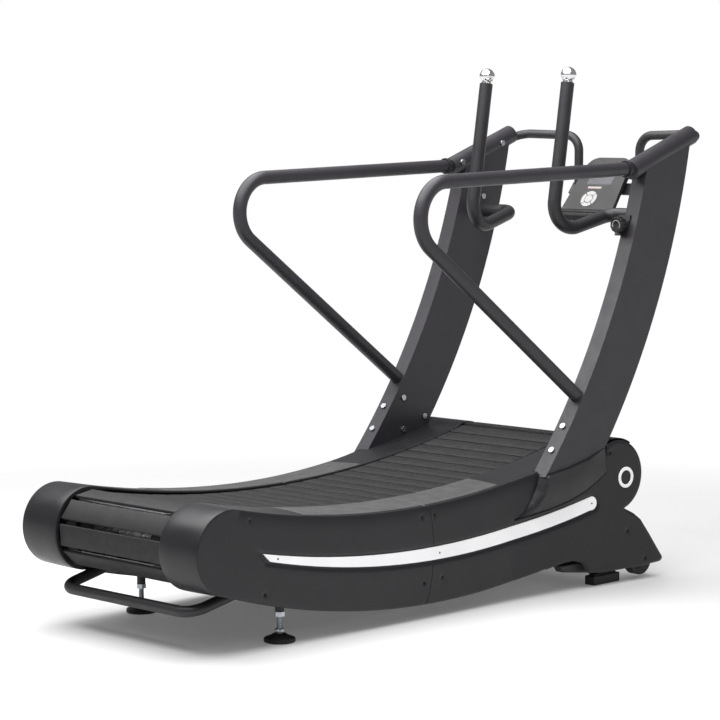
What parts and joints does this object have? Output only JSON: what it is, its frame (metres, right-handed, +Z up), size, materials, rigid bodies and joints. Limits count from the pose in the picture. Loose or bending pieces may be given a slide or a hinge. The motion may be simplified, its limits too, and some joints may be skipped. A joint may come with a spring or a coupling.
{
  "type": "curved manual treadmill",
  "caption": "Curved manual treadmill: a slatted running belt on two drums, side covers, bolted uprights, hairpin handrails, push grips, a console and a magnetic brake.",
  "frame": {"origin": "on the floor, under the middle of the bounding box", "axes": "+X forward, the way the runner faces; +Y to the runner's left; +Z up"},
  "size_m": [2.0709, 0.8088, 1.5167],
  "materials": {
    "frame_paint": "satin black powder coat",
    "upright_paint": "satin anthracite powder coat, fine texture",
    "grip_paint": "satin black powder coat",
    "cover_plastic": "fine-grained satin moulding",
    "pad_rubber": "diamond tread",
    "belt_rubber": "fine ribbed",
    "black_plastic": "satin",
    "chrome": "polished",
    "console_plastic": "fine grain",
    "lcd": "dark display window",
    "light_lens": "translucent white",
    "key_silver": "satin silver",
    "magnet": "nickel plated",
    "cable_sheath": "smooth",
    "aluminium": "mill finish",
    "drive_belt": "smooth back",
    "bearing_steel": "ground",
    "cast_iron": "painted casting",
    "foot_rubber": "matte",
    "wheel_rubber": "matte",
    "white_trim": "satin white",
    "black_steel": "black oxide",
    "zinc_steel": "bright zinc"
  },
  "bodies": {
    "chassis": {"frame_weldment": "frame_paint", "lift_bar": "upright_paint", "rear_side_panel_left": "cover_plastic", "rear_side_panel_right": "cover_plastic", "front_side_panel_left": "cover_plastic", "front_side_panel_right": "cover_plastic", "rear_cap_left": "cover_plastic", "rear_cap_right": "cover_plastic", "front_cap_left": "cover_plastic", "front_cap_right": "cover_plastic", "step_pads": "pad_rubber", "upright_shroud_left": "cover_plastic", "upright_shroud_right": "cover_plastic", "front_guard": "cover_plastic", "upright_left": "upright_paint", "upright_right": "upright_paint", "handrail_left": "upright_paint", "handrail_right": "upright_paint", "rail_collars": "black_plastic", "grip_left": "grip_paint", "grip_right": "grip_paint", "grip_knobs": "chrome", "console_tube_left": "upright_paint", "console_tube_right": "upright_paint", "console_bracket": "frame_paint", "console_shell": "console_plastic", "console_screen": "lcd", "console_tray": "console_plastic", "status_bar": "light_lens", "knob_bracket": "frame_paint", "brake_cable": "cable_sheath", "slat_treads": "belt_rubber", "slat_carriers": "aluminium", "drive_belts": "drive_belt", "guide_rails": "zinc_steel", "guide_rollers": "bearing_steel", "bearing_blocks": "cast_iron", "level_nuts": "zinc_steel", "front_feet": "foot_rubber", "trim_strips": "white_trim", "side_rings": "white_trim", "panel_screws": "black_steel", "zinc_bolts": "zinc_steel"},
    "front_drum": {"front_shaft": "bearing_steel", "front_pulleys": "cast_iron", "brake_disc": "aluminium"},
    "rear_drum": {"rear_shaft": "bearing_steel", "rear_pulleys": "cast_iron"},
    "knob": {"brake_knob": "black_plastic"},
    "magnet_carrier": {"magnet_arm": "zinc_steel", "brake_magnets": "magnet"},
    "foot_left": {"level_foot_left": "foot_rubber"},
    "foot_right": {"level_foot_right": "foot_rubber"},
    "wheel_left": {"transport_wheel_left": "wheel_rubber"},
    "wheel_right": {"transport_wheel_right": "wheel_rubber"},
    "button_center": {"key_center": "key_silver"},
    "button_upper": {"key_upper": "key_silver"},
    "button_lower": {"key_lower": "key_silver"},
    "button_left": {"key_left": "key_silver"},
    "button_right": {"key_right": "key_silver"}
  },
  "joints": [
    {"name": "front_drum_spin", "type": "hinge", "parent": "chassis", "child": "front_drum", "pos_m": [0.582, 0, 0.328], "axis": [0, 1, 0], "continuous": true},
    {"name": "rear_drum_spin", "type": "hinge", "parent": "chassis", "child": "rear_drum", "pos_m": [-0.922, 0, 0.272], "axis": [0, 1, 0], "continuous": true},
    {"name": "brake_knob_turn", "type": "hinge", "parent": "chassis", "child": "knob", "pos_m": [0.628, -0.34, 1.054], "axis": [1, 0, 0], "range_deg": [0, 270]},
    {"name": "magnet_arm_swing", "type": "hinge", "parent": "chassis", "child": "magnet_carrier", "pos_m": [0.47, -0.29, 0.38], "axis": [0, -1, 0], "range_deg": [0, 20]},
    {"name": "level_foot_left_screw", "type": "slide", "parent": "chassis", "child": "foot_left", "axis": [0, 0, 1], "range_m": [-0.015, 0.01]},
    {"name": "transport_wheel_left_spin", "type": "hinge", "parent": "chassis", "child": "wheel_left", "pos_m": [0.719, 0.35, 0.058], "axis": [0, 1, 0], "continuous": true},
    {"name": "level_foot_right_screw", "type": "slide", "parent": "chassis", "child": "foot_right", "axis": [0, 0, 1], "range_m": [-0.015, 0.01]},
    {"name": "transport_wheel_right_spin", "type": "hinge", "parent": "chassis", "child": "wheel_right", "pos_m": [0.719, -0.35, 0.058], "axis": [0, 1, 0], "continuous": true},
    {"name": "key_center_press", "type": "slide", "parent": "chassis", "child": "button_center", "axis": [0.7878, 0, -0.6159], "range_m": [0, 0.001], "stiffness_N_per_m": 1500},
    {"name": "key_upper_press", "type": "slide", "parent": "chassis", "child": "button_upper", "axis": [0.7878, 0, -0.6159], "range_m": [0, 0.001], "stiffness_N_per_m": 1500},
    {"name": "key_lower_press", "type": "slide", "parent": "chassis", "child": "button_lower", "axis": [0.7878, 0, -0.6159], "range_m": [0, 0.001], "stiffness_N_per_m": 1500},
    {"name": "key_left_press", "type": "slide", "parent": "chassis", "child": "button_left", "axis": [0.7878, 0, -0.6159], "range_m": [0, 0.001], "stiffness_N_per_m": 1500},
    {"name": "key_right_press", "type": "slide", "parent": "chassis", "child": "button_right", "axis": [0.7878, 0, -0.6159], "range_m": [0, 0.001], "stiffness_N_per_m": 1500}
  ],
  "couplings": [
    {"joint": "rear_drum_spin", "follows": "front_drum_spin", "ratio": 1},
    {"joint": "magnet_arm_swing", "follows": "brake_knob_turn", "ratio": 0.074}
  ]
}
